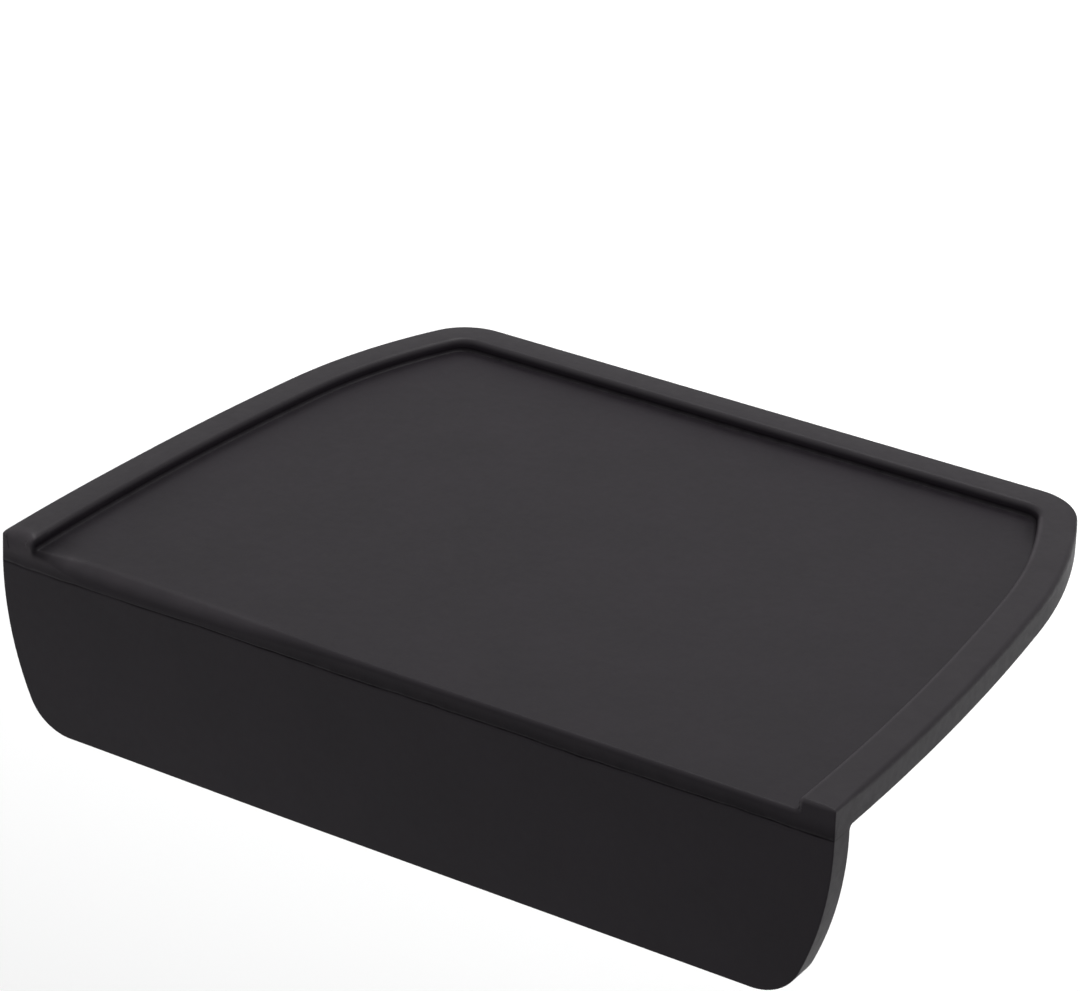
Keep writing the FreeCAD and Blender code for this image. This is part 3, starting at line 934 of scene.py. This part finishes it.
# %% Floor
floor_drop = 0.25
floor_half = 4.0
floor_z = lip_bottom - floor_drop
floor_mesh = bpy.data.meshes.new("floor")
floor_mesh.from_pydata([
    (-floor_half, -floor_half, floor_z), (floor_half, -floor_half, floor_z),
    (floor_half, floor_half, floor_z), (-floor_half, floor_half, floor_z)],
    [], [(0, 1, 2, 3)])
floor = bpy.data.objects.new("floor", floor_mesh)
bpy.context.scene.collection.objects.link(floor)
floor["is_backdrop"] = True
print("floor at", round(floor_z, 4), "half side", floor_half)

# %% Pale paper
# Greys of the painted shade on the paper: the front, and the patch behind the right side.
front_paper, back_paper, patch_paper = (0.50, 0.50, 0.50), (0.95, 0.95, 0.95), (0.38, 0.38, 0.38)
patch_centre, patch_radius, patch_reach = (0.14, 0.60, floor_z), 0.10, 0.45

paper = bpy.data.materials.new("pale paper")
paper.use_nodes = True
paper_tree = paper.node_tree
paper_shader = paper_tree.nodes["Principled BSDF"]
paper_shader.inputs["Roughness"].default_value = 0.9
paper_shader.inputs["Specular IOR Level"].default_value = 0.0
where = paper_tree.nodes.new("ShaderNodeTexCoord")
split = paper_tree.nodes.new("ShaderNodeSeparateXYZ")
paper_tree.links.new(where.outputs["Object"], split.inputs["Vector"])
floor_x, floor_y = split.outputs["X"], split.outputs["Y"]

toward_left = ranged(paper_tree, floor_x, (0.0, -0.5), (0.0, 0.4))
toward_right = ranged(paper_tree, floor_x, (0.02, 0.20), (0.0, -0.4))
bent_y = reckoned(paper_tree, "ADD", reckoned(paper_tree, "ADD", floor_y, toward_left), toward_right)
toward_back = ranged(paper_tree, bent_y, (-0.45, 0.15), shape="SMOOTHSTEP")
tone = mixed(paper_tree, front_paper, back_paper, toward_back)

from_patch = paper_tree.nodes.new("ShaderNodeVectorMath")
from_patch.operation = "DISTANCE"
from_patch.inputs[1].default_value = patch_centre
paper_tree.links.new(where.outputs["Object"], from_patch.inputs[0])
off_patch = ranged(paper_tree, from_patch.outputs["Value"], (patch_radius, patch_reach))
on_left = ranged(paper_tree, floor_x, (0.07, -0.01))
keep_tone = reckoned(paper_tree, "MAXIMUM", off_patch, on_left)
paper_tree.links.new(mixed(paper_tree, patch_paper, tone, keep_tone), paper_shader.inputs["Base Color"])
floor_mesh.materials.append(paper)
print("paper:", len(paper_tree.nodes), "nodes")

# %% [markdown]
# ## Soft light
# A wide box overhead, a metre behind the mat, gives the deck its even sheen.  A honeycomb grid
# narrows its beam, which keeps it off the front face.  A weak box at the front left opens the
# shadows, and a dim white world fills what is left.

# %% Lights
def soft_box(name, stand, aim, width, height, brightness, beam=180):
    """An area lamp that faces its aim; its power is its brightness times pi times its area.

    The beam is the angle in degrees to which a honeycomb grid in front of the box narrows it.
    """
    lamp = bpy.data.lights.new(name, "AREA")
    lamp.shape = "RECTANGLE"
    lamp.size = width
    lamp.size_y = height
    lamp.energy = brightness * math.pi * width * height
    lamp.spread = math.radians(beam)
    holder = bpy.data.objects.new(name, lamp)
    turned = (Vector(aim) - Vector(stand)).to_track_quat("-Z", "Y").to_matrix().to_4x4()
    holder.matrix_world = Matrix.Translation(stand) @ turned
    bpy.context.scene.collection.objects.link(holder)
    print("light:", name, "power", round(lamp.energy, 2))


soft_box("top box", stand=(-0.1, 0.95, 1.6), aim=(-0.1, 0.95, 0),
         width=2.6, height=1.5, brightness=1.13, beam=75)
soft_box("fill box", stand=(-0.85, -0.85, 1.35), aim=(0, 0, 0),
         width=0.9, height=0.9, brightness=0.4)
world = bpy.data.worlds.new("studio")
bpy.context.scene.world = world
world.use_nodes = True
sky = world.node_tree.nodes["Background"]
sky.inputs["Color"].default_value = (1, 1, 1, 1)
sky.inputs["Strength"].default_value = 0.45

# %% [markdown]
# ## Camera
# A long lens from the front right looks down on the mat.  The camera's three directions are
# worked out from its bearing, its height angle and a slight roll, and put into its matrix.  Its
# aim is moved a little across and up in the picture, so that the mat sits where it should.

# %% Camera
bearing, lift, roll = math.radians(32.37), math.radians(27.03), math.radians(1.21)
distance = 1.01157
middle = Vector((0, -0.00475, 0))
left_move, up_move = 0.0099855, 0.013293
back_way = Vector((
    math.sin(bearing) * math.cos(lift), -math.cos(bearing) * math.cos(lift), math.sin(lift)))
level_right = Vector((math.cos(bearing), math.sin(bearing), 0))
level_up = back_way.cross(level_right)
right_way = level_right * math.cos(roll) + level_up * math.sin(roll)
up_way = level_up * math.cos(roll) - level_right * math.sin(roll)
aim = middle - right_way * left_move + up_way * up_move
lens = bpy.data.cameras.new("camera")
lens.lens = 152.8
lens.sensor_width = 36
lens.clip_end = 50
camera = bpy.data.objects.new("camera", lens)
turned = Matrix((right_way, up_way, back_way)).transposed().to_4x4()
camera.matrix_world = Matrix.Translation(aim + back_way * distance) @ turned
bpy.context.scene.collection.objects.link(camera)
bpy.context.scene.camera = camera
bpy.context.scene.view_settings.view_transform = "Standard"
print("camera at", [round(value, 3) for value in camera.matrix_world.translation])

# %% [markdown]
# ## Last measure
# The finished mat is measured once more, beside the construction model that it came from, and
# both boxes are written down.  They should agree, because the skin was made to the same size.

# %% Sizes and end
visual_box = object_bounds()
for name, box in (("cad", cad_box), ("visual", visual_box)):
    print(name, [[round(value * 1000, 3) for value in corner] for corner in box])
